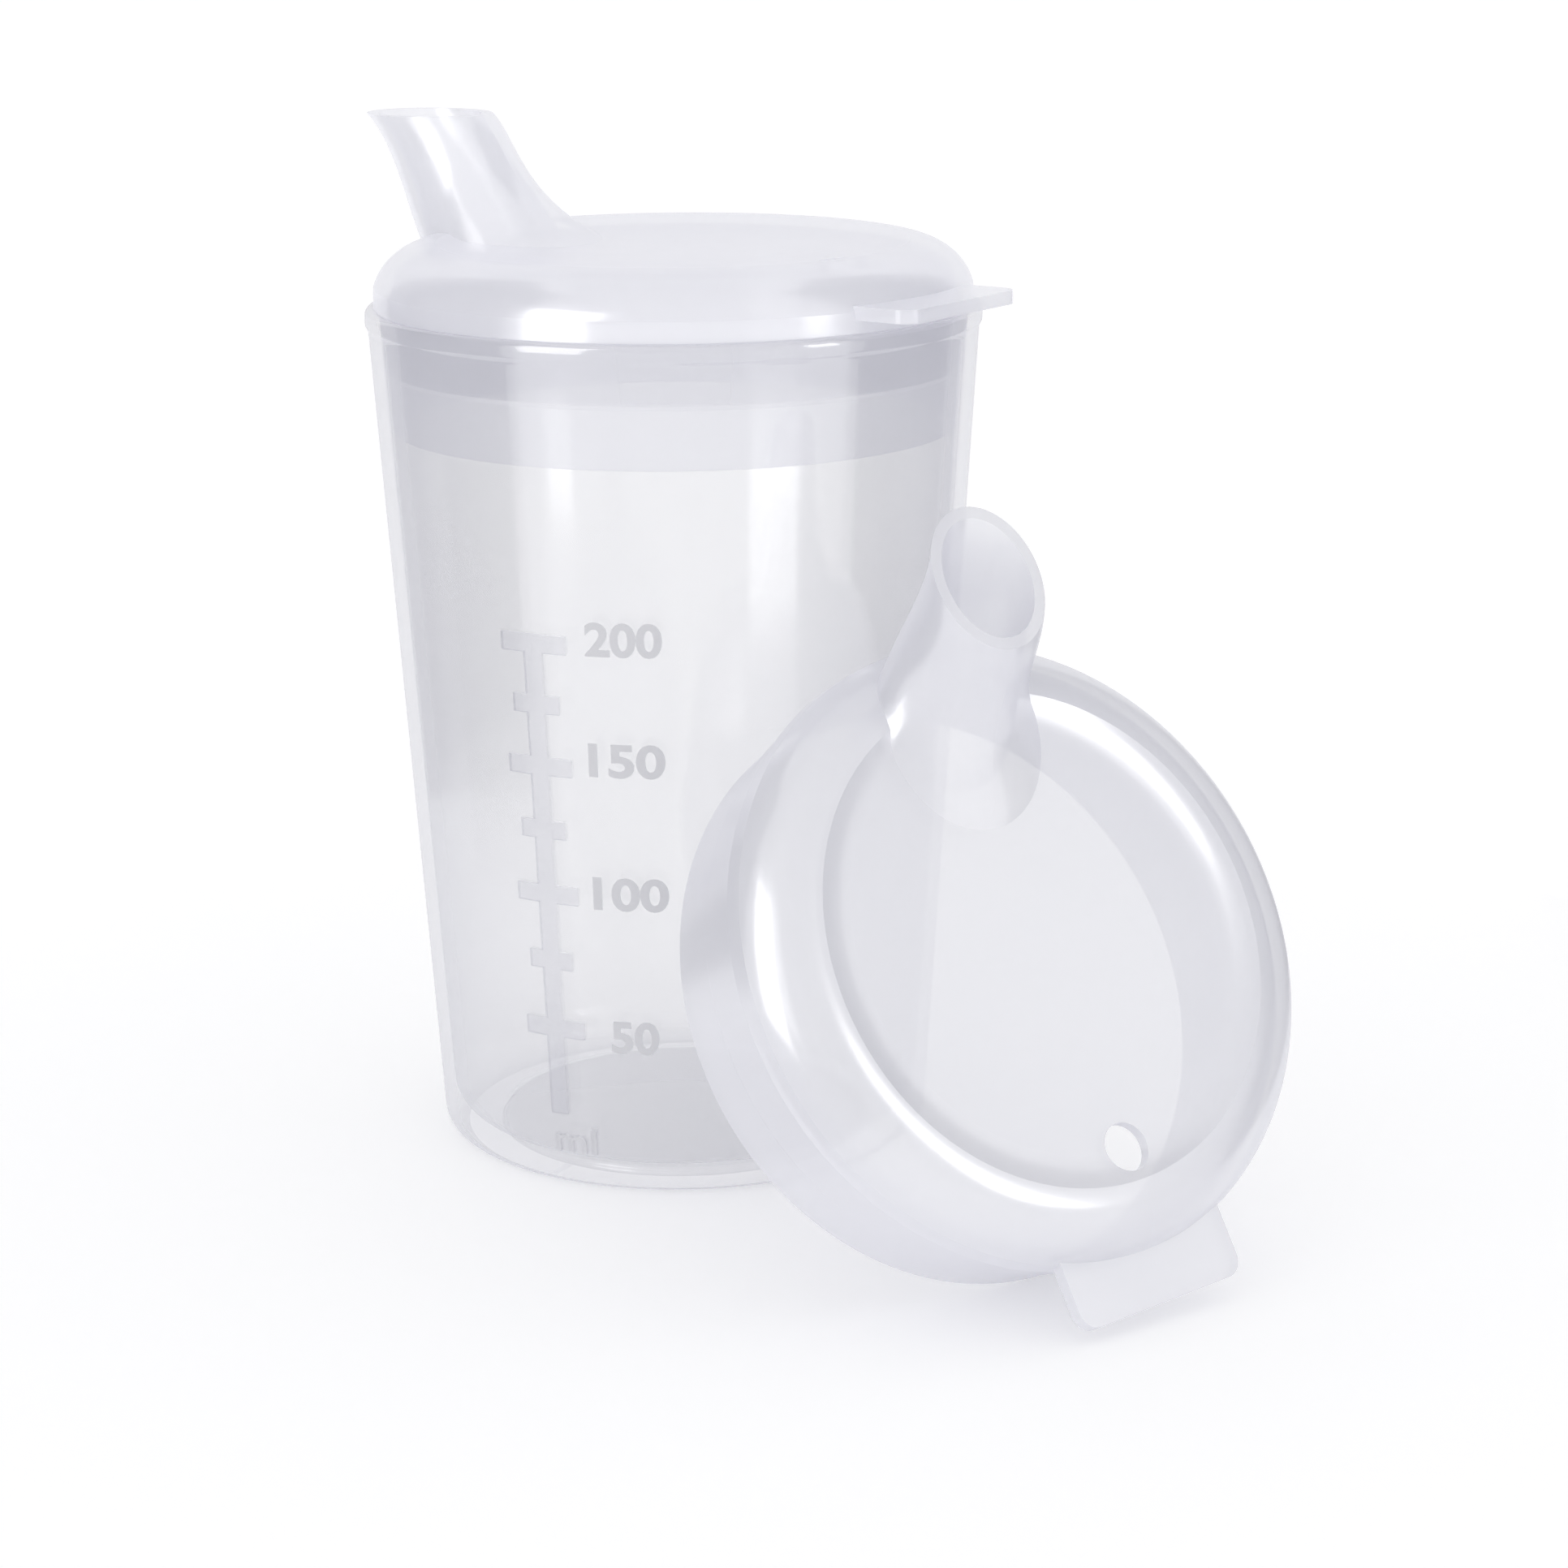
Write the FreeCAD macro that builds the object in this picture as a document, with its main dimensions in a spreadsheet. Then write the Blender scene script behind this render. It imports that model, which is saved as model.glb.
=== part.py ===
"""Graduated feeding beaker with a fitted spouted lid and a spare one.  Millimetres, +Z up.

The frame's origin is the middle of the face that the beaker stands on.  The fitted lid's spout
points to -X and its finger tab to +X.
"""
import FreeCAD, Part
import Sketcher
import os
import re

ORIGIN = FreeCAD.Vector(0, 0, 0)
Z_AXIS = FreeCAD.Vector(0, 0, 1)
Y_AXIS = FreeCAD.Vector(0, 1, 0)

doc = FreeCAD.newDocument("feeding_beaker")


# ---------------------------------------------------------------- driving dimensions
SIZES = [
    # the beaker
    ("rim_height", 103.5, "height of the rim above the table"),
    ("rim_radius", 37.25, "outer radius of the rounded rim bead"),
    ("bead_height", 2.4, "how far the rim bead reaches down the wall"),
    ("base_radius", 30.25, "outer radius that the wall would have at the table"),
    ("wall_taper", 0.0657, "growth of the wall's radius per millimetre of height"),
    ("wall_thick", 1.5, "wall thickness of the beaker"),
    ("floor_top", 2.5, "height of the inner floor above the table"),
    ("floor_corner", 4.2, "radius between the inner floor and the wall"),
    ("foot_corner", 2.6, "radius of the outer bottom corner"),
    ("foot_inside", 23.0, "inner radius of the foot ring"),
    ("foot_recess", 0.9, "depth of the recess inside the foot ring"),
    # the raised measuring scale
    ("scale_turn", 8.0, "angle of the scale's upright from -Y, towards +X"),
    ("scale_proud", 0.45, "how far the scale stands out from the wall"),
    ("mark_width", 2.2, "height of each cross mark"),
    ("upright_turn", 4.0, "angle that the upright covers"),
    ("long_turn", 14.0, "angle that a mark of every 50 ml covers"),
    ("short_turn", 10.0, "angle that a mark between them covers"),
    # the lid, heights measured from its lip
    ("lid_gap", 0.05, "running gap between the lid and the beaker"),
    ("lid_thick", 1.4, "wall thickness of the lid"),
    ("lip_radius", 36.2, "outer radius of the lid above its lip"),
    ("skirt_depth", 14.8, "length of the skirt below the lip"),
    ("band_depth", 7.3, "length of the tight sealing band at the top of the skirt"),
    ("skirt_relief", 0.3, "how much thinner the skirt is below the sealing band"),
    ("shoulder_start", 2.4, "height where the shoulder starts to turn in"),
    ("crest_radius", 28.6, "radius of the crest round the dish"),
    ("crest_height", 7.5, "height of that crest"),
    ("dish_radius", 24.6, "radius of the dish inside its rounded edge"),
    ("dish_edge", 6.6, "height of the dish at that radius"),
    ("dish_centre", 5.8, "height of the middle of the dish"),
    ("gate_flat", 2.5, "radius of the flat spot in the middle of the dish"),
    ("spout_wall", 1.35, "wall thickness of the spout"),
    ("tab_reach", 41.9, "distance of the finger tab's end from the lid's axis"),
    ("tab_width", 23.1, "width of the finger tab"),
    ("tab_under", 1.5, "height of the tab's underside"),
    ("tab_thick", 1.6, "thickness of the finger tab"),
    ("tab_corner", 2.2, "radius of the tab's corners"),
    ("vent_reach", 24.7, "distance of the air vent from the lid's axis"),
    ("vent_width", 5.6, "diameter of the air vent"),
    # where the spare lid leans
    ("lean_reach", 64.9, "distance of the spare lid's lip centre from the beaker's axis"),
    ("lean_place", -18.6, "direction of that centre from +X"),
    ("lean_height", 36.98, "height of that centre above the table"),
    ("lean_facing", -20.2, "direction from +X that the spare lid's top faces"),
    ("lean_tilt", 59.0, "angle that the spare lid is tipped from lying flat"),
    ("lean_spin", 4.0, "turn of the spare lid about its own axis"),
]

# Stations up the spout, lowest first: height, middle, half length and half width of its outside.
# The low ones flare so that the spout grows softly out of the dish.
SPOUT = [
    ("root", 2.5, -24.5, 11.4, 10.6),
    ("foot", 6.0, -24.9, 11.7, 10.8),
    ("flare", 7.2, -26.5, 10.85, 10.1),
    ("collar", 8.6, -28.25, 9.95, 9.3),
    ("waist", 11.0, -30.5, 9.0, 8.3),
    ("neck", 15.5, -33.55, 8.25, 7.35),
    ("tip", 21.0, -37.75, 8.4, 7.05),
]

# The bore leaves out the flare, and opens straight into the lid.
BORE = [
    ("throat", 0.0, -25.2, 10.4, 9.6),
    ("waist_bore", 11.0, -30.5, 9.0, 8.3),
    ("neck_bore", 15.5, -33.55, 8.25, 7.35),
    ("tip_bore", 21.01, -37.75, 8.4, 7.05),
]

for station, *values in SPOUT + BORE:
    for measure, value in zip(("height", "middle", "length", "width"), values):
        note = "spout: %s of the %s" % (measure, station)
        SIZES.append(("%s_%s" % (station, measure), value, note))

sheet = doc.addObject("Spreadsheet::Sheet", "sheet")
for row, (alias, value, note) in enumerate(SIZES, start=1):
    sheet.set("A%d" % row, alias)
    sheet.set("B%d" % row, str(value))
    sheet.set("C%d" % row, note)
    sheet.setAlias("B%d" % row, alias)
doc.recompute()


def size(text):
    """The number that an expression on the sheet's cells gives, such as "rim_height - 2"."""
    value = sheet.evalExpression(text)
    return float(getattr(value, "Value", value))


def bound(text):
    """The same expression as another object writes it, with the sheet's name on each cell."""
    return re.sub(r"\b([a-z]+_[a-z_]+)", r"sheet.\1", text)


# ---------------------------------------------------------------- sketches
def plane(body, role):
    """One of the body's own origin planes or axes."""
    return next(item for item in body.Origin.OriginFeatures if item.Role == role)


def new_sketch(body, name, role, raised=None, turned=None):
    """A sketch on an origin plane, raised along its normal or turned about the Z axis."""
    sketch = body.newObject("Sketcher::SketchObject", name)
    sketch.AttachmentSupport = [(plane(body, role), "")]
    sketch.MapMode = "FlatFace"
    if raised:
        sketch.setExpression("AttachmentOffset.Base.z", bound(raised))
    if turned:
        # an upright sketch's own Y is the world's Z
        turn = FreeCAD.Rotation(Y_AXIS, size(turned))
        sketch.AttachmentOffset = FreeCAD.Placement(ORIGIN, turn)
    return sketch


def pin(sketch, geometry, end, point):
    """Hold one point of the geometry at two expressions, measured from the sketch's origin."""
    for kind, text in (("DistanceX", point[0]), ("DistanceY", point[1])):
        index = sketch.addConstraint(Sketcher.Constraint(kind, geometry, end, size(text)))
        sketch.setExpression("Constraints[%d]" % index, bound(text))


def at(point):
    return FreeCAD.Vector(size(point[0]), size(point[1]), 0)


def outline(sketch, corners):
    """A closed outline.  Each corner is (x, y), or (x, y, via_x, via_y) to reach it by an arc."""
    previous = corners[-1][:2]
    first = sketch.GeometryCount
    for corner in corners:
        start = at(previous)
        end = at(corner[:2])
        if len(corner) == 4:
            middle = at(corner[2:])
            edge = sketch.addGeometry(Part.Arc(start, middle, end), False)
            # a sketch stores every arc anticlockwise, so its own end may be either of the two
            last = 2 if sketch.getPoint(edge, 2).distanceToPoint(end) < 1e-6 else 1
            dot = sketch.addGeometry(Part.Point(middle), True)
            pin(sketch, dot, 1, corner[2:])
            sketch.addConstraint(Sketcher.Constraint("PointOnObject", dot, 1, edge))
        else:
            edge = sketch.addGeometry(Part.LineSegment(start, end), False)
            last = 2
        pin(sketch, edge, last, corner[:2])
        if edge != first:
            join(sketch, before, edge, 3 - last)
        else:
            opening = (edge, 3 - last)
        before = (edge, last)
        previous = corner[:2]
    join(sketch, before, *opening)


def join(sketch, before, edge, end):
    sketch.addConstraint(Sketcher.Constraint("Coincident", before[0], before[1], edge, end))


def oval(sketch, middle, across_x, across_y):
    """An ellipse round (middle, 0), longer along X, its half widths given as expressions."""
    centre = at((middle, "0"))
    end = centre + at((across_x, "0"))
    side = centre + at(("0", across_y))
    ring = sketch.addGeometry(Part.Ellipse(end, side, centre), False)
    sketch.exposeInternalGeometry(ring)
    # the ellipse's two axes are now the next two pieces of geometry
    sketch.addConstraint(Sketcher.Constraint("Horizontal", ring + 1))
    pin(sketch, ring, 3, (middle, "0"))
    for axis, half in ((ring + 1, across_x), (ring + 2, across_y)):
        text = "2 * (%s)" % half
        index = sketch.addConstraint(Sketcher.Constraint("Distance", axis, size(text)))
        sketch.setExpression("Constraints[%d]" % index, bound(text))


# ---------------------------------------------------------------- features
def revolve(body, sketch, name, cut=False, turn=None):
    """Turn a sketch about the Z axis, all the way or over an angle centred on the sketch."""
    kind = "PartDesign::Groove" if cut else "PartDesign::Revolution"
    feature = body.newObject(kind, name)
    feature.Profile = sketch
    feature.ReferenceAxis = (sketch, ["V_Axis"])
    if turn:
        feature.Midplane = True
        feature.setExpression("Angle", bound(turn))
    else:
        feature.Angle = 360
    sketch.Visibility = False
    doc.recompute()


def wall_at(height, inset="0"):
    """Expression for the beaker's outer radius at a height, less an inset."""
    return "base_radius + wall_taper * (%s) - (%s)" % (height, inset)


def level_of(millilitres):
    """Expression for the height that so much liquid reaches in the tapered beaker."""
    bottom = "(%s)" % wall_at("floor_top", "wall_thick")
    swept = "3 * wall_taper * %d / pi" % (1000 * millilitres)
    return "floor_top + ((%s^3 + %s)^(1/3) - %s) / wall_taper" % (bottom, swept, bottom)


# ---------------------------------------------------------------- the beaker
def make_beaker():
    body = doc.addObject("PartDesign::Body", "beaker")
    body.Label = "beaker"

    wall = new_sketch(body, "wall_outline", "XZ_Plane")
    bead_under = "rim_height - bead_height"
    round_start = "rim_height - (rim_radius - (%s)) / 2" % wall_at("rim_height", "wall_thick")
    inner_rim = wall_at("rim_height", "wall_thick")
    inner_low = wall_at("floor_top", "wall_thick")
    outline(wall, [
        ("0", "foot_recess"),
        ("foot_inside", "foot_recess"),
        ("foot_inside", "0"),
        (wall_at("0"), "0"),
        (wall_at(bead_under), bead_under),
        ("rim_radius", bead_under + " + 0.45"),
        ("rim_radius", round_start),
        (inner_rim, round_start, "(rim_radius + %s) / 2" % inner_rim, "rim_height"),
        (inner_low, "floor_top"),
        ("0", "floor_top"),
    ])
    revolve(body, wall, "wall_turned")
    round_edges(body, "foot_round", "foot_corner", wall_at("0"), "0")
    round_edges(body, "floor_round", "floor_corner", inner_low, "floor_top")

    upright = new_sketch(body, "upright_outline", "XZ_Plane", turned="scale_turn - 90")
    mark_band(upright, level_of(50) + " - 11", level_of(200) + " + mark_width / 2")
    revolve(body, upright, "scale_upright", turn="upright_turn")
    for name, turn, volumes in (("long", "long_turn", (50, 100, 150, 200)),
                                ("short", "short_turn", (75, 125, 175))):
        marks = new_sketch(body, name + "_mark_outlines", "XZ_Plane", turned="scale_turn - 90")
        for volume in volumes:
            level = level_of(volume)
            mark_band(marks, level + " - mark_width / 2", level + " + mark_width / 2")
        revolve(body, marks, name + "_marks", turn=turn)
    return body


def mark_band(sketch, low, high):
    """A strip along the wall's outside, half sunk into it, for the raised scale."""
    outline(sketch, [
        (wall_at(low, "0.3"), low),
        (wall_at(low, "-scale_proud"), low),
        (wall_at(high, "-scale_proud"), high),
        (wall_at(high, "0.3"), high),
    ])


def round_edges(body, name, radius, reach, height):
    """Fillet the circular edges of the body's last feature at a reach and height."""
    solid = body.Tip
    chosen = []
    for index, edge in enumerate(solid.Shape.Edges, start=1):
        box = edge.BoundBox
        level = abs(box.ZMin - size(height)) < 1e-3 and abs(box.ZMax - size(height)) < 1e-3
        if level and abs(max(box.XMax, -box.XMin) - size(reach)) < 1e-3:
            chosen.append("Edge%d" % index)
    feature = body.newObject("PartDesign::Fillet", name)
    feature.Base = (solid, chosen)
    feature.setExpression("Radius", bound(radius))
    doc.recompute()


# ---------------------------------------------------------------- the lids
# The dish is part of a ball whose middle is on the lid's axis.
DISH_BALL = "(dish_radius^2 + (dish_edge - dish_centre)^2) / (2 * (dish_edge - dish_centre))"


def dish_at(reach):
    """Expression for the height of the dish at a distance from its middle."""
    return "dish_centre + %s - sqrt((%s)^2 - (%s)^2)" % (DISH_BALL, DISH_BALL, reach)


def make_lid(label, placement):
    """One lid, built with its lip's plane at Z = 0 and then put at the placement."""
    body = doc.addObject("PartDesign::Body", label)
    body.Label = label

    form = new_sketch(body, "form_outline", "XZ_Plane")
    band_top = wall_at("rim_height", "wall_thick + lid_gap")
    outline(form, [
        ("0", "-skirt_depth"),
        (drop(band_top, "skirt_depth", "skirt_relief"), "-skirt_depth"),
        (drop(band_top, "band_depth + 0.6", "skirt_relief"), "-band_depth - 0.6"),
        (drop(band_top, "band_depth"), "-band_depth"),
        (band_top, "0"),
        ("lip_radius", "0"),
        ("lip_radius - 0.1", "shoulder_start"),
        ("crest_radius", "crest_height", "lip_radius - 2.2", "shoulder_start + 3.25"),
        ("dish_radius", "dish_edge", "(crest_radius + dish_radius) / 2 + 0.3", "dish_edge + 0.3"),
        ("gate_flat", dish_at("gate_flat"), "dish_radius / 2", dish_at("dish_radius / 2")),
        ("0", dish_at("gate_flat")),
    ])
    revolve(body, form, "form_turned")
    spout(body, "spout_form", "PartDesign::AdditiveLoft", SPOUT, "0")

    tab = new_sketch(body, "tab_outline", "XY_Plane", raised="tab_under")
    half = "tab_width / 2"
    bend = "tab_corner * (1 - cos(45))"
    outline(tab, [
        ("lip_radius - 8", "-%s" % half),
        ("tab_reach - tab_corner", "-%s" % half),
        ("tab_reach", "-%s + tab_corner" % half, "tab_reach - " + bend, "-%s + %s" % (half, bend)),
        ("tab_reach", "%s - tab_corner" % half),
        ("tab_reach - tab_corner", half, "tab_reach - " + bend, "%s - %s" % (half, bend)),
        ("lip_radius - 8", half),
    ])
    pad = body.newObject("PartDesign::Pad", "tab")
    pad.Profile = tab
    pad.setExpression("Length", bound("tab_thick"))
    tab.Visibility = False
    doc.recompute()

    hollow = new_sketch(body, "hollow_outline", "XZ_Plane")
    outline(hollow, [
        ("0", "-skirt_depth - 1"),
        (drop(band_top, "skirt_depth", "lid_thick"), "-skirt_depth - 1"),
        (drop(band_top, "0", "lid_thick"), "0"),
        (drop(band_top, "0", "lid_thick"), "shoulder_start"),
        ("crest_radius", "crest_height - lid_thick", "lip_radius - 3.4", "shoulder_start + 2.1"),
        ("dish_radius", "dish_edge - lid_thick",
         "(crest_radius + dish_radius) / 2 + 0.1", "dish_edge - lid_thick + 0.3"),
        ("gate_flat", dish_at("gate_flat") + " - lid_thick",
         "dish_radius / 2", dish_at("dish_radius / 2") + " - lid_thick"),
        ("0", dish_at("gate_flat") + " - lid_thick"),
    ])
    revolve(body, hollow, "hollow_turned", cut=True)
    spout(body, "spout_bore", "PartDesign::SubtractiveLoft", BORE, "spout_wall")

    vent = new_sketch(body, "vent_outline", "XY_Plane")
    ring = vent.addGeometry(Part.Circle(at(("vent_reach", "0")), Z_AXIS, size("vent_width / 2")), False)
    pin(vent, ring, 3, ("vent_reach", "0"))
    radius = vent.addConstraint(Sketcher.Constraint("Radius", ring, size("vent_width / 2")))
    vent.setExpression("Constraints[%d]" % radius, bound("vent_width / 2"))
    pocket = body.newObject("PartDesign::Pocket", "vent")
    pocket.Profile = vent
    pocket.Type = "ThroughAll"
    pocket.Reversed = True
    vent.Visibility = False
    doc.recompute()

    body.Placement = placement
    return body


def drop(band_top, depth, inset="0"):
    """Expression for the skirt's radius at a depth below the lip, less an inset."""
    return "%s - wall_taper * (%s) - (%s)" % (band_top, depth, inset)


def spout(body, name, kind, stations, inset):
    """Loft the stations, drawn in by the inset, into the body."""
    sections = []
    for station, *_ in stations:
        title = "%s_%s" % (name, station)
        sketch = new_sketch(body, title, "XY_Plane", raised=station + "_height")
        length = "%s_length - %s" % (station, inset)
        width = "%s_width - %s" % (station, inset)
        oval(sketch, station + "_middle", length, width)
        sketch.Visibility = False
        sections.append(sketch)
    doc.recompute()
    loft = body.newObject(kind, name)
    loft.Profile = sections[0]
    loft.Sections = sections[1:]
    doc.recompute()


# ---------------------------------------------------------------- assembly
beaker = make_beaker()
seat = FreeCAD.Placement(FreeCAD.Vector(0, 0, size("rim_height + lid_gap")), FreeCAD.Rotation())
reach = FreeCAD.Vector(size("lean_reach"), 0, size("lean_height"))
place = FreeCAD.Rotation(Z_AXIS, size("lean_place")).multVec(reach)
tipped = FreeCAD.Rotation(Y_AXIS, size("lean_tilt")) * FreeCAD.Rotation(Z_AXIS, size("lean_spin"))
lean = FreeCAD.Placement(place, FreeCAD.Rotation(Z_AXIS, size("lean_facing")) * tipped)
parts = [beaker, make_lid("spouted_lid", seat), make_lid("spare_spouted_lid", lean)]

problems = [item.Label for item in doc.Objects if set(item.State) & {"Invalid", "Error"}]
for part in parts:
    if part.Shape.isNull() or not part.Shape.isValid() or len(part.Shape.Solids) != 1:
        problems.append(part.Label)
if problems:
    raise SystemExit("failed: " + ", ".join(problems))

os.makedirs("parts", exist_ok=True)
for part in parts:
    part.Shape.exportStep("parts/%s.step" % part.Label)
    print(part.Label, round(part.Shape.Volume), part.Shape.BoundBox)
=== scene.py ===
# %% [markdown]
# # A feeding beaker with two spouted lids
# The beaker and both lids are moulded in natural polypropylene, a milky plastic that lets light
# through. The eye sees four surfaces at once, the near wall's two and the far wall's two, so
# every wall here has its real thickness. The lids keep the shapes that the CAD frame gives
# them. The beaker is turned anew on an even grid, because a glossy wall shows up every uneven
# triangle. Then come the lettering, the plastic's finish and the studio.

# %% Load the frame
import math
import bmesh
import bpy
from mathutils import Matrix, Vector


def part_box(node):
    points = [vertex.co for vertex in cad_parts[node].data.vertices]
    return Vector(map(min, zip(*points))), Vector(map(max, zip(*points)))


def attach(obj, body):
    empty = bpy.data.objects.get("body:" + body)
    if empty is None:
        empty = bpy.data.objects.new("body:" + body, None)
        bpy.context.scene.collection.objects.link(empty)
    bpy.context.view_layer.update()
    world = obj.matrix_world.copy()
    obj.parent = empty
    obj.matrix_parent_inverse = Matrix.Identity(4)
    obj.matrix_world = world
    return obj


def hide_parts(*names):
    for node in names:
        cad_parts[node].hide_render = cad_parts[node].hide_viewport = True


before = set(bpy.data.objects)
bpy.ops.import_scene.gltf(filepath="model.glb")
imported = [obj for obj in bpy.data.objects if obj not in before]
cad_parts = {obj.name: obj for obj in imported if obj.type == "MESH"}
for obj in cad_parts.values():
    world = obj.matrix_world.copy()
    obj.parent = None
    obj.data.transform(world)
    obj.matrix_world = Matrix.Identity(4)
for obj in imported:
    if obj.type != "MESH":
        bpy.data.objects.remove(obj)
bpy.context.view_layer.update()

beaker_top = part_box("beaker")[1].z
print("beaker height, metres:", round(beaker_top, 4))


# %% [markdown]
# ## The beaker's measures
# A moulded beaker widens upwards so that it leaves its mould, so its radius is a straight
# function of height. The heights of the marks follow from the volume under them: a tapered
# beaker fills as a difference of two cubes, and that gives marks that draw closer together
# towards the rim.

# %% Measures, in millimetres
MM = 0.001
RIM_HEIGHT = beaker_top / MM
RIM_RADIUS = 37.25
BEAD_UNDER = RIM_HEIGHT - 2.4
BEAD_FLARE = 0.45
BASE_RADIUS = 30.25
TAPER = 0.0657
WALL = 1.5
FLOOR_TOP = 2.5
RECESS_RADIUS = 23.0
RECESS_DEPTH = 0.9


def wall_at(height):
    """The outer radius of the wall at a height."""
    return BASE_RADIUS + TAPER * height


def level_of(millilitres):
    """The height that so much liquid reaches."""
    bottom = wall_at(FLOOR_TOP) - WALL
    swept = 3 * TAPER * 1000 * millilitres / math.pi
    return FLOOR_TOP + ((bottom ** 3 + swept) ** (1 / 3) - bottom) / TAPER


VOLUMES = (50, 75, 100, 125, 150, 175, 200)
for volume in VOLUMES:
    print(volume, "ml stands at", round(level_of(volume), 1), "mm")


# %% [markdown]
# ## Turning the beaker
# The wall is one closed section, from the middle of the foot, up the outside, over the rim and
# down to the middle of the floor. Spinning it gives both surfaces at once. The spin has a step of
# one degree, so a whole number of faces lies under each mark. The section also has a corner
# at the top and bottom of each mark, for the same reason. It stops short of the axis, and one
# round face then closes each end.

# %% Spin the section
MIDDLE_FACE = 4.0
MARK_HALF = 1.1
UPRIGHT_LOW = level_of(50) - 11

section = [
    (MIDDLE_FACE, RECESS_DEPTH),
    (RECESS_RADIUS, RECESS_DEPTH),
    (RECESS_RADIUS, 0.0),
    (BASE_RADIUS, 0.0),
    (wall_at(UPRIGHT_LOW), UPRIGHT_LOW),
]
for volume in VOLUMES:
    for height in (level_of(volume) - MARK_HALF, level_of(volume) + MARK_HALF):
        section.append((wall_at(height), height))
section += [
    (wall_at(BEAD_UNDER), BEAD_UNDER),
    (RIM_RADIUS, BEAD_UNDER + BEAD_FLARE),
    (RIM_RADIUS, RIM_HEIGHT),
    (wall_at(RIM_HEIGHT) - WALL, RIM_HEIGHT),
    (wall_at(FLOOR_TOP) - WALL, FLOOR_TOP),
    (MIDDLE_FACE, FLOOR_TOP),
]


def spun(corners):
    """Turn a section of (radius, height) corners about the Z axis, and close its two ends."""
    form = bmesh.new()
    points = [form.verts.new((radius * MM, 0.0, height * MM)) for radius, height in corners]
    edges = [form.edges.new(pair) for pair in zip(points, points[1:])]
    bmesh.ops.spin(form, geom=points + edges, cent=(0, 0, 0), axis=(0, 0, 1),
                   angle=math.tau, steps=360, use_merge=True)
    bmesh.ops.remove_doubles(form, verts=form.verts, dist=1e-7)
    bmesh.ops.holes_fill(form, edges=[edge for edge in form.edges if edge.is_boundary], sides=0)
    bmesh.ops.recalc_face_normals(form, faces=form.faces)
    return form


beaker_form = spun(section)
print("beaker section turned:", len(beaker_form.faces), "faces")


# %% [markdown]
# ## Round corners
# No moulded edge is sharp, and on see-through plastic the round corners are what catches the
# light: the rim, the foot and the inside corner of the floor. A bevel along a whole ring
# rounds it. Where two faces turn by nearly a right angle, the bevel's offset is nearly the
# corner's radius. Each row of the table is a ring's radius and height, the offset and the
# number of segments.

# %% Bevel the rings
NEARNESS = 0.02 * MM


def ring(form, radius, height):
    """The edges of the ring at a radius and height."""
    def near(point):
        return (abs(point.co.xy.length - radius * MM) < NEARNESS
                and abs(point.co.z - height * MM) < NEARNESS)
    return [edge for edge in form.edges if near(edge.verts[0]) and near(edge.verts[1])]


for radius, height, offset, segments in (
        (BASE_RADIUS, 0.0, 2.75, 10),
        (RECESS_RADIUS, 0.0, 0.4, 3),
        (RECESS_RADIUS, RECESS_DEPTH, 0.4, 3),
        (wall_at(FLOOR_TOP) - WALL, FLOOR_TOP, 3.9, 12),
        (wall_at(RIM_HEIGHT) - WALL, RIM_HEIGHT, 0.84, 7),
        (RIM_RADIUS, RIM_HEIGHT, 0.84, 7),
        (RIM_RADIUS, BEAD_UNDER + BEAD_FLARE, 0.18, 3),
        (wall_at(BEAD_UNDER), BEAD_UNDER, 0.4, 4)):
    corner = ring(beaker_form, radius, height)
    bmesh.ops.bevel(beaker_form, geom=corner, offset=offset * MM, offset_type="OFFSET",
                    segments=segments, profile=0.5, affect="EDGES", material=-1)
    print("rounded a ring of", len(corner), "edges at", round(radius, 1), round(height, 1))


# %% [markdown]
# ## The raised scale
# The scale is engraved in the mould, so it stands out of the wall in the same plastic: an
# upright with a long cross mark for every 50 ml and a short one between them. Extruding the
# faces of the wall under each mark makes it one piece with the wall, with no hidden surface
# that would show through.

# %% Extrude the marks
SCALE_TURN = -90 + 8
UPRIGHT_HALF_TURN = 2
LONG_HALF_TURN = 7
SHORT_HALF_TURN = 5
SCALE_PROUD = 0.45


def on_scale(face):
    """True where the scale stands out of the wall."""
    middle = face.calc_center_median()
    height = middle.z / MM
    if abs(middle.xy.length / MM - wall_at(height)) > 0.1:
        return False
    aside = abs(math.degrees(math.atan2(middle.y, middle.x)) - SCALE_TURN)
    if aside < UPRIGHT_HALF_TURN and UPRIGHT_LOW < height < level_of(200) + MARK_HALF:
        return True
    for volume in VOLUMES:
        reach = LONG_HALF_TURN if volume % 50 == 0 else SHORT_HALF_TURN
        if aside < reach and abs(height - level_of(volume)) < MARK_HALF:
            return True
    return False


scale_faces = [face for face in beaker_form.faces if on_scale(face)]
raised = bmesh.ops.extrude_face_region(beaker_form, geom=scale_faces)
bmesh.ops.delete(beaker_form, geom=scale_faces, context="FACES")
for item in raised["geom"]:
    if isinstance(item, bmesh.types.BMVert):
        outwards = Vector((item.co.x, item.co.y, 0.0)).normalized()
        item.co += outwards * SCALE_PROUD * MM
    if isinstance(item, bmesh.types.BMFace):
        item.material_index = 1
print("faces under the scale:", len(scale_faces))


# %% [markdown]
# ## From a form to a piece
# Every new piece is finished in the same way: smooth over its curves, sharp at its corners, on
# its body and in its material slot. The turned beaker takes the place of the frame's own.

# %% Finish a form as a piece
def piece_from(form, name, body, crease=32):
    """Make a piece of the form, smooth except where it turns by more than the crease."""
    mesh = bpy.data.meshes.new(name)
    form.to_mesh(mesh)
    form.free()
    mesh.shade_smooth()
    mesh.set_sharp_from_angle(angle=math.radians(crease))
    piece = bpy.data.objects.new(name, mesh)
    bpy.context.scene.collection.objects.link(piece)
    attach(piece, body)
    print(name, "has", len(mesh.polygons), "faces")
    return piece


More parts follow.
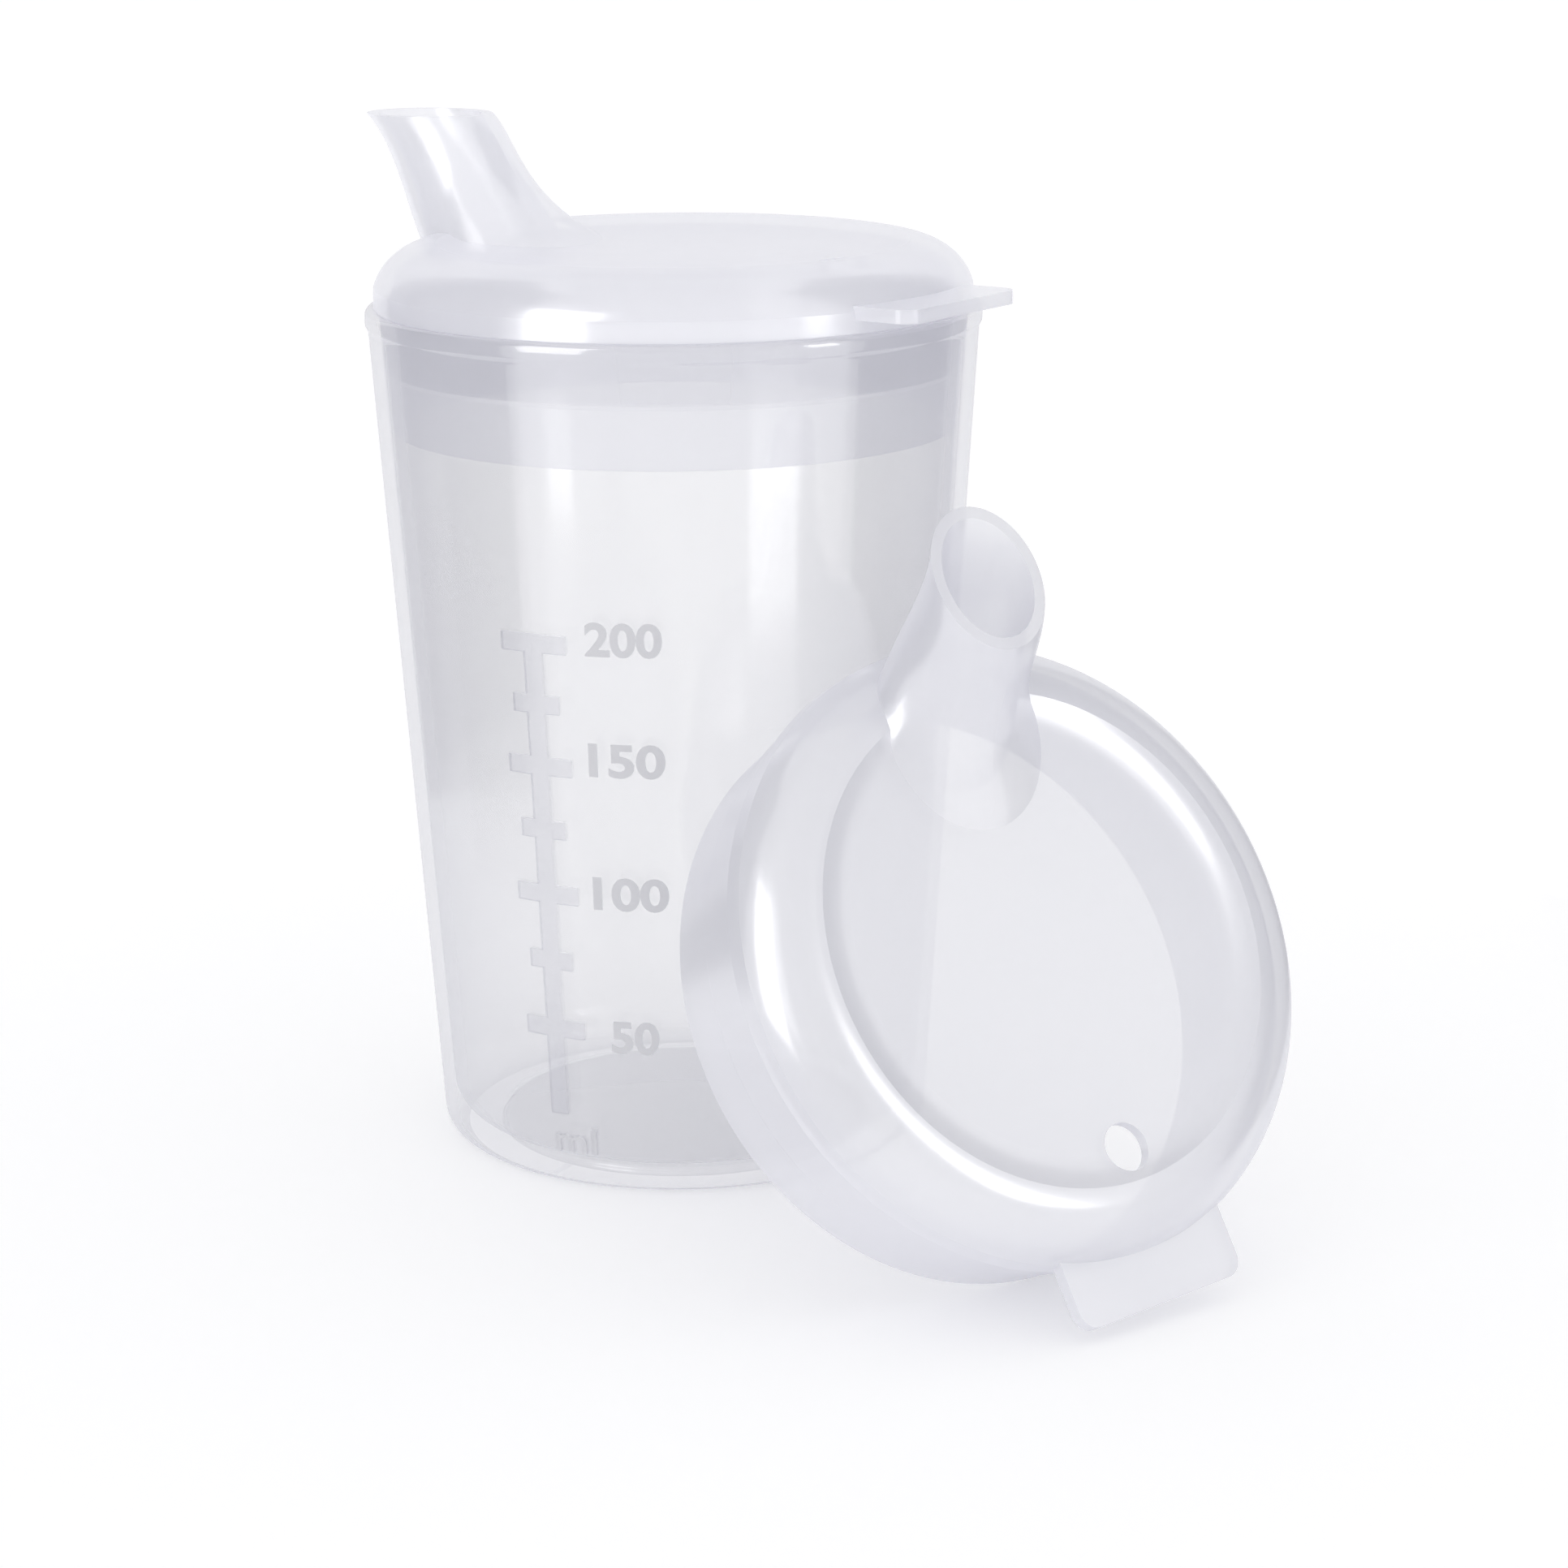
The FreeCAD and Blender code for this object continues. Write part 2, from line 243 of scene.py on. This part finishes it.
beaker = piece_from(beaker_form, "beaker_shell", "beaker")
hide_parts("beaker")


# %% [markdown]
# ## Lettering
# The numerals beside the long marks are printed, in a thin grey ink, and the unit under the
# scale is raised in the mould. Both start as text in the built-in font, made a mesh before it
# is placed. Upright cuts give the flat letters enough columns to bend, and then each point is
# wrapped round the tapered wall. Their backs are sunk a little into it, so that no gap shows.

# %% Letters on the wall
COLUMN = 0.4
SUNK = 0.02
EXTRUDED = 0.5


def lettering(name, words, wide, tall, turn, level, proud, weight):
    """Text as a form on the wall, its middle at a turn from -Y and a level."""
    curve = bpy.data.curves.new(name, "FONT")
    curve.body = words
    curve.offset = weight
    curve.extrude = EXTRUDED
    curve.resolution_u = 6
    flat = bpy.data.objects.new(name + "_flat", curve)
    mesh = bpy.data.meshes.new_from_object(flat)
    bpy.data.objects.remove(flat)
    form = bmesh.new()
    form.from_mesh(mesh)
    bmesh.ops.remove_doubles(form, verts=form.verts, dist=1e-6)
    low_x, high_x = min(v.co.x for v in form.verts), max(v.co.x for v in form.verts)
    low_y, high_y = min(v.co.y for v in form.verts), max(v.co.y for v in form.verts)
    stretch = (wide / (high_x - low_x), tall / (high_y - low_y), proud)
    centre = Vector(((low_x + high_x) / 2, (low_y + high_y) / 2, -EXTRUDED))
    bmesh.ops.translate(form, verts=form.verts, vec=-centre)
    bmesh.ops.scale(form, verts=form.verts, vec=stretch)
    cut = -wide / 2 + COLUMN
    while cut < wide / 2:
        bmesh.ops.bisect_plane(form, geom=form.verts[:] + form.edges[:] + form.faces[:],
                               plane_co=(cut, 0, 0), plane_no=(1, 0, 0))
        cut += COLUMN
    for point in form.verts:
        height = level + point.co.y
        radius = wall_at(height) - SUNK + point.co.z
        angle = math.radians(turn - 90) + point.co.x / wall_at(level)
        point.co = Vector((radius * math.cos(angle), radius * math.sin(angle), height)) * MM
    bmesh.ops.recalc_face_normals(form, faces=form.faces)
    print(words, "has", len(form.faces), "faces")
    return form


# %% [markdown]
# ## Numerals and unit
# The print isn't in exact register with the moulded marks, so each numeral has its own height
# over its mark. The rows give the volume, the numeral's width and that height.

# %% Print the numerals, mould the unit
NUMERALS = ((50, 5.8, -0.5), (100, 9.1, 0.6), (150, 9.1, 1.2), (200, 9.1, 0.9))
NUMERAL_TALL = 4.15
NUMERAL_TURN = 26.2
INK_THICK = 0.05
numerals = []
for volume, wide, over in NUMERALS:
    form = lettering("numeral", str(volume), wide, NUMERAL_TALL, turn=NUMERAL_TURN,
                     level=level_of(volume) + over, proud=INK_THICK, weight=0.03)
    numerals.append(piece_from(form, "numeral_%d" % volume, "beaker"))
form = lettering("unit", "ml", 5.4, 3.2, turn=11.6, level=6.5, proud=SCALE_PROUD, weight=0.01)
unit = piece_from(form, "unit_mark", "beaker")


# %% [markdown]
# ## Nodes as plain expressions
# Shader maths reads best as ordinary arithmetic. One small class wraps a socket so that the
# operators add Math nodes, and one method adds every other node. The reflected forms are there
# so that `1 - mask` works as well as `mask - 1`.

# %% A socket that does arithmetic
class Value:
    def __init__(self, maker, socket):
        self.maker = maker
        self.socket = socket

    def _math(self, operation, first, second):
        return self.maker.node("ShaderNodeMath", {"operation": operation}, {0: first, 1: second})

    def __add__(self, other):
        return self._math("ADD", self, other)

    def __radd__(self, other):
        return self._math("ADD", other, self)

    def __sub__(self, other):
        return self._math("SUBTRACT", self, other)

    def __rsub__(self, other):
        return self._math("SUBTRACT", other, self)

    def __mul__(self, other):
        return self._math("MULTIPLY", self, other)

    def __rmul__(self, other):
        return self._math("MULTIPLY", other, self)


class Maker:
    """Adds nodes to one material or world."""

    def __init__(self, owner):
        owner.use_nodes = True
        self.tree = owner.node_tree
        self.tree.nodes.clear()

    def node(self, kind, settings=None, values=None, output=0):
        made = self.tree.nodes.new(kind)
        for name, setting in (settings or {}).items():
            setattr(made, name, setting)
        for name, value in (values or {}).items():
            if isinstance(value, Value):
                self.tree.links.new(value.socket, made.inputs[name])
            else:
                made.inputs[name].default_value = value
        return Value(self, made.outputs[output]) if len(made.outputs) else None


# %% [markdown]
# ## The plastic
# Natural polypropylene is neither clear nor white. Much of the light goes straight on, and the
# rest is scattered in the wall as a cool, milky haze. The haze is thickest where a wall is seen
# edge on, so the surface is more opaque there, and its colour is darkened there as painted
# shade. A coat gives the crisp reflections of a polished mould over the softer gloss under it.
# It fades towards the edges, or the white studio would bleach them. A faint glow of painted
# light stands for the light that travels along inside a wall.
# The mould leaves a slow waviness, and handling leaves faint rubbed patches.

# %% Natural polypropylene
MILKY = (0.87, 0.87, 0.915, 1.0)
CLOUDY = (0.82, 0.822, 0.875, 1.0)
DENSE_HAZE_AND_SHADE = (0.58, 0.58, 0.66, 1.0)


def plastic(name, tints, haze, edge_haze, mirror, rough, glow, overlap_shade=None):
    """Hazy plastic, with painted shade between the two heights of the band where the lid's skirt
    overlaps the beaker, if it has one.
    """
    material = bpy.data.materials.new(name)
    make = Maker(material)
    place = make.node("ShaderNodeTexCoord", output="Object")
    drift = make.node("ShaderNodeTexNoise", values={"Vector": place, "Scale": 38.0, "Detail": 3.0})
    rubbed = make.node("ShaderNodeTexNoise", values={"Vector": place, "Scale": 260.0, "Detail": 4.0})
    waves = make.node("ShaderNodeTexNoise", values={"Vector": place, "Scale": 60.0, "Detail": 1.0})
    colour = make.node("ShaderNodeMix", {"data_type": "RGBA"},
                       {"Factor": drift, "A": tints[0], "B": tints[1]}, output="Result")
    edge = make.node("ShaderNodeLayerWeight", values={"Blend": 0.25}, output="Facing")
    opacity = haze + edge_haze * edge
    # Painted shade: the colour darkens towards the dense tint where the wall is seen edge on.
    colour = make.node("ShaderNodeMix", {"data_type": "RGBA"},
                       {"Factor": edge, "A": colour, "B": DENSE_HAZE_AND_SHADE}, output="Result")
    # Painted shade: between the band's two heights the colour is darkened towards the dense tint.
    if overlap_shade:
        height = make.node("ShaderNodeSeparateXYZ", values={"Vector": place}, output="Z")
        over = make.node("ShaderNodeMath", {"operation": "GREATER_THAN"}, {0: height, 1: overlap_shade[0]})
        under = make.node("ShaderNodeMath", {"operation": "LESS_THAN"}, {0: height, 1: overlap_shade[1]})
        colour = make.node("ShaderNodeMix", {"data_type": "RGBA"},
                           {"Factor": over * under, "A": colour, "B": DENSE_HAZE_AND_SHADE}, output="Result")
    bump = make.node("ShaderNodeBump", values={"Strength": 0.04, "Distance": 0.0002, "Height": waves})
    skin = make.node("ShaderNodeBsdfPrincipled", values={
        "Base Color": colour,
        "Roughness": 0.26 + 0.1 * rubbed,
        "Alpha": opacity,
        "IOR": 1.45,
        "Coat Weight": 1.0 - 0.9 * edge,
        "Coat Roughness": rough,
        "Coat IOR": mirror,
        # Painted light: a faint emission brightens the plastic in place of light scattered inside the
        # wall.
        "Emission Color": MILKY,
        "Emission Strength": glow,
        "Normal": bump,
    })
    make.node("ShaderNodeOutputMaterial", values={"Surface": skin})
    return material


# %% [markdown]
# ## Which part has which plastic
# The beaker's wall is the clearest. The raised scale is thicker than the wall, so its haze is
# denser. Where the tight band of the fitted lid's skirt sits over the beaker, its colour is
# darkened as painted shade for the two walls seen one over the other. The band is measured
# down from the lid's seat on the rim, which is one skirt's depth above the lid's lowest point.

# %% Give each part its plastic
SKIRT_DEPTH = 14.8 * MM
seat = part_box("spouted_lid")[0].z + SKIRT_DEPTH
band = (seat - 7.3 * MM, seat - 0.3 * MM)
beaker_plastic = plastic("natural_polypropylene_beaker", (MILKY, CLOUDY),
                         haze=0.17, edge_haze=0.45, mirror=3.6, rough=0.11, glow=0.01)
scale_plastic = plastic("natural_polypropylene_scale", (DENSE_HAZE_AND_SHADE, DENSE_HAZE_AND_SHADE),
                        haze=0.36, edge_haze=0.2, mirror=2.2, rough=0.2, glow=0.0)
fitted_plastic = plastic("natural_polypropylene_fitted_lid", (MILKY, CLOUDY),
                         haze=0.42, edge_haze=0.3, mirror=2.5, rough=0.16, glow=0.17, overlap_shade=band)
spare_plastic = plastic("natural_polypropylene_spare_lid", (MILKY, CLOUDY),
                        haze=0.5, edge_haze=0.3, mirror=2.5, rough=0.18, glow=0.07)
beaker.data.materials.append(beaker_plastic)
beaker.data.materials.append(scale_plastic)
unit.data.materials.append(beaker_plastic)
for node, material in (("spouted_lid", fitted_plastic), ("spare_spouted_lid", spare_plastic)):
    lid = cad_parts[node]
    lid.data.materials.clear()
    lid.data.materials.append(material)
    print(node, "has", len(lid.data.polygons), "faces")


# %% [markdown]
# ## The ink
# Pad printing lays a thin, flat ink. It is matt beside the plastic, and a little uneven where
# the pad has lifted off.

# %% Printed ink
INK = (0.70, 0.70, 0.73, 1.0)
WORN_INK = (0.66, 0.66, 0.69, 1.0)


def ink():
    """Matt grey ink, a little mottled."""
    material = bpy.data.materials.new("grey_ink")
    make = Maker(material)
    place = make.node("ShaderNodeTexCoord", output="Object")
    mottle = make.node("ShaderNodeTexNoise", values={"Vector": place, "Scale": 900.0, "Detail": 3.0})
    colour = make.node("ShaderNodeMix", {"data_type": "RGBA"},
                       {"Factor": mottle, "A": INK, "B": WORN_INK}, output="Result")
    skin = make.node("ShaderNodeBsdfPrincipled", values={
        "Base Color": colour,
        "Roughness": 0.5 + 0.15 * mottle,
        "Specular IOR Level": 0.2,
    })
    make.node("ShaderNodeOutputMaterial", values={"Surface": skin})
    return material


grey_ink = ink()
for piece in numerals:
    piece.data.materials.append(grey_ink)


# %% [markdown]
# ## The studio
# See-through plastic shows its shape by what it reflects. Two tall softboxes in front, one to
# each side, put the bright patches on the shoulders of the lids. Dark curved cards beside the
# beaker are reflected in the upper wall and give it its grey, while the white floor lights its
# lower half. The cards and softboxes are seen only in reflections. The even light comes from
# the white surroundings, and the floor glows a little, as a lit table does.

# %% Floor and cards
FLOOR_HALF = 6.0
FLOOR_GLOW = 0.18
CARD_REACH = 0.16
CARD_TALL = 0.4


def stand(name, form, colour, glow):
    """A matt piece of studio equipment."""
    mesh = bpy.data.meshes.new(name)
    form.to_mesh(mesh)
    form.free()
    holder = bpy.data.objects.new(name, mesh)
    bpy.context.scene.collection.objects.link(holder)
    material = bpy.data.materials.new(name)
    make = Maker(material)
    skin = make.node("ShaderNodeBsdfPrincipled", values={
        "Base Color": colour, "Roughness": 0.7, "Specular IOR Level": 0.1,
        "Emission Color": (1.0, 1.0, 1.0, 1.0), "Emission Strength": glow})
    make.node("ShaderNodeOutputMaterial", values={"Surface": skin})
    mesh.materials.append(material)
    return holder


floor_form = bmesh.new()
bmesh.ops.create_grid(floor_form, x_segments=1, y_segments=1, size=FLOOR_HALF)
stand("floor", floor_form, (0.93, 0.93, 0.94, 1.0), FLOOR_GLOW)

for side, first, last in (("left", 180, 248), ("right", 12, 72)):
    card_form = bmesh.new()
    corner = Vector((CARD_REACH, 0.0, 0.0)) @ Matrix.Rotation(math.radians(-first), 3, "Z")
    foot = card_form.verts.new(corner)
    head = card_form.verts.new(corner + Vector((0.0, 0.0, CARD_TALL)))
    upright = card_form.edges.new((foot, head))
    bmesh.ops.spin(card_form, geom=[foot, head, upright], cent=(0, 0, 0), axis=(0, 0, 1),
                   angle=math.radians(last - first), steps=24)
    card = stand("dark_card_" + side, card_form, (0.02, 0.02, 0.03, 1.0), 0.0)
    card.visible_camera = False
    card.visible_diffuse = False
    card.visible_shadow = False


# %% [markdown]
# ## Softboxes and sky
# Each softbox is placed by its turn about the beaker's axis, its distance from the axis and its
# height. The right one is small and stands well forward, or the spare lid would mirror it whole.

# %% Lights
BEAKER_MIDDLE = Vector((0.0, 0.0, 0.06))


def softbox(name, turn, reach, height, width, tall, power):
    """An area light that faces the beaker's middle from a turn about the Z axis."""
    light = bpy.data.lights.new(name, "AREA")
    light.shape = "RECTANGLE"
    light.size = width
    light.size_y = tall
    light.energy = power
    holder = bpy.data.objects.new(name, light)
    angle = math.radians(turn)
    holder.location = (reach * math.cos(angle), reach * math.sin(angle), height)
    aim = BEAKER_MIDDLE - holder.location
    holder.rotation_euler = aim.to_track_quat("-Z", "Y").to_euler()
    holder.visible_camera = False
    holder.visible_diffuse = False
    bpy.context.scene.collection.objects.link(holder)


softbox("left_softbox", turn=-97.7, reach=0.42, height=0.22, width=0.2, tall=0.36, power=1.1)
softbox("right_softbox", turn=0.0, reach=0.42, height=0.17, width=0.09, tall=0.18, power=0.32)

world = bpy.context.scene.world or bpy.data.worlds.new("studio")
bpy.context.scene.world = world
sky = Maker(world)
air = sky.node("ShaderNodeBackground", values={"Color": (1.0, 1.0, 1.0, 1.0), "Strength": 0.9})
sky.node("ShaderNodeOutputWorld", values={"Surface": air})


# %% [markdown]
# ## The camera
# A long lens about half a metre away looks slightly down on the set. The camera is turned
# towards the beaker's axis first. Yaw, pitch and roll are small corrections from there.

# %% Camera
CAMERA_PLACE = Vector((0.2751, -0.3666, 0.1635))
TURN = math.radians(36.889)
YAW, PITCH, ROLL = 0.02814, 0.25691, -0.00731

camera_data = bpy.data.cameras.new("camera")
camera_data.lens = 87.07
camera_data.sensor_width = 36.0
camera_data.clip_start = 0.01
camera_data.clip_end = 50.0
camera = bpy.data.objects.new("camera", camera_data)
ahead = Vector((math.sin(YAW) * math.cos(PITCH), math.cos(YAW) * math.cos(PITCH), -math.sin(PITCH)))
ahead = Matrix.Rotation(TURN, 3, "Z") @ ahead
level_view = ahead.to_track_quat("-Z", "Y").to_matrix()
camera.rotation_euler = (level_view @ Matrix.Rotation(ROLL, 3, "Z")).to_euler()
camera.location = CAMERA_PLACE
bpy.context.scene.collection.objects.link(camera)
bpy.context.scene.camera = camera
bpy.context.scene.view_settings.view_transform = "Standard"
print("camera to the beaker's axis, metres:", round(CAMERA_PLACE.xy.length, 3))
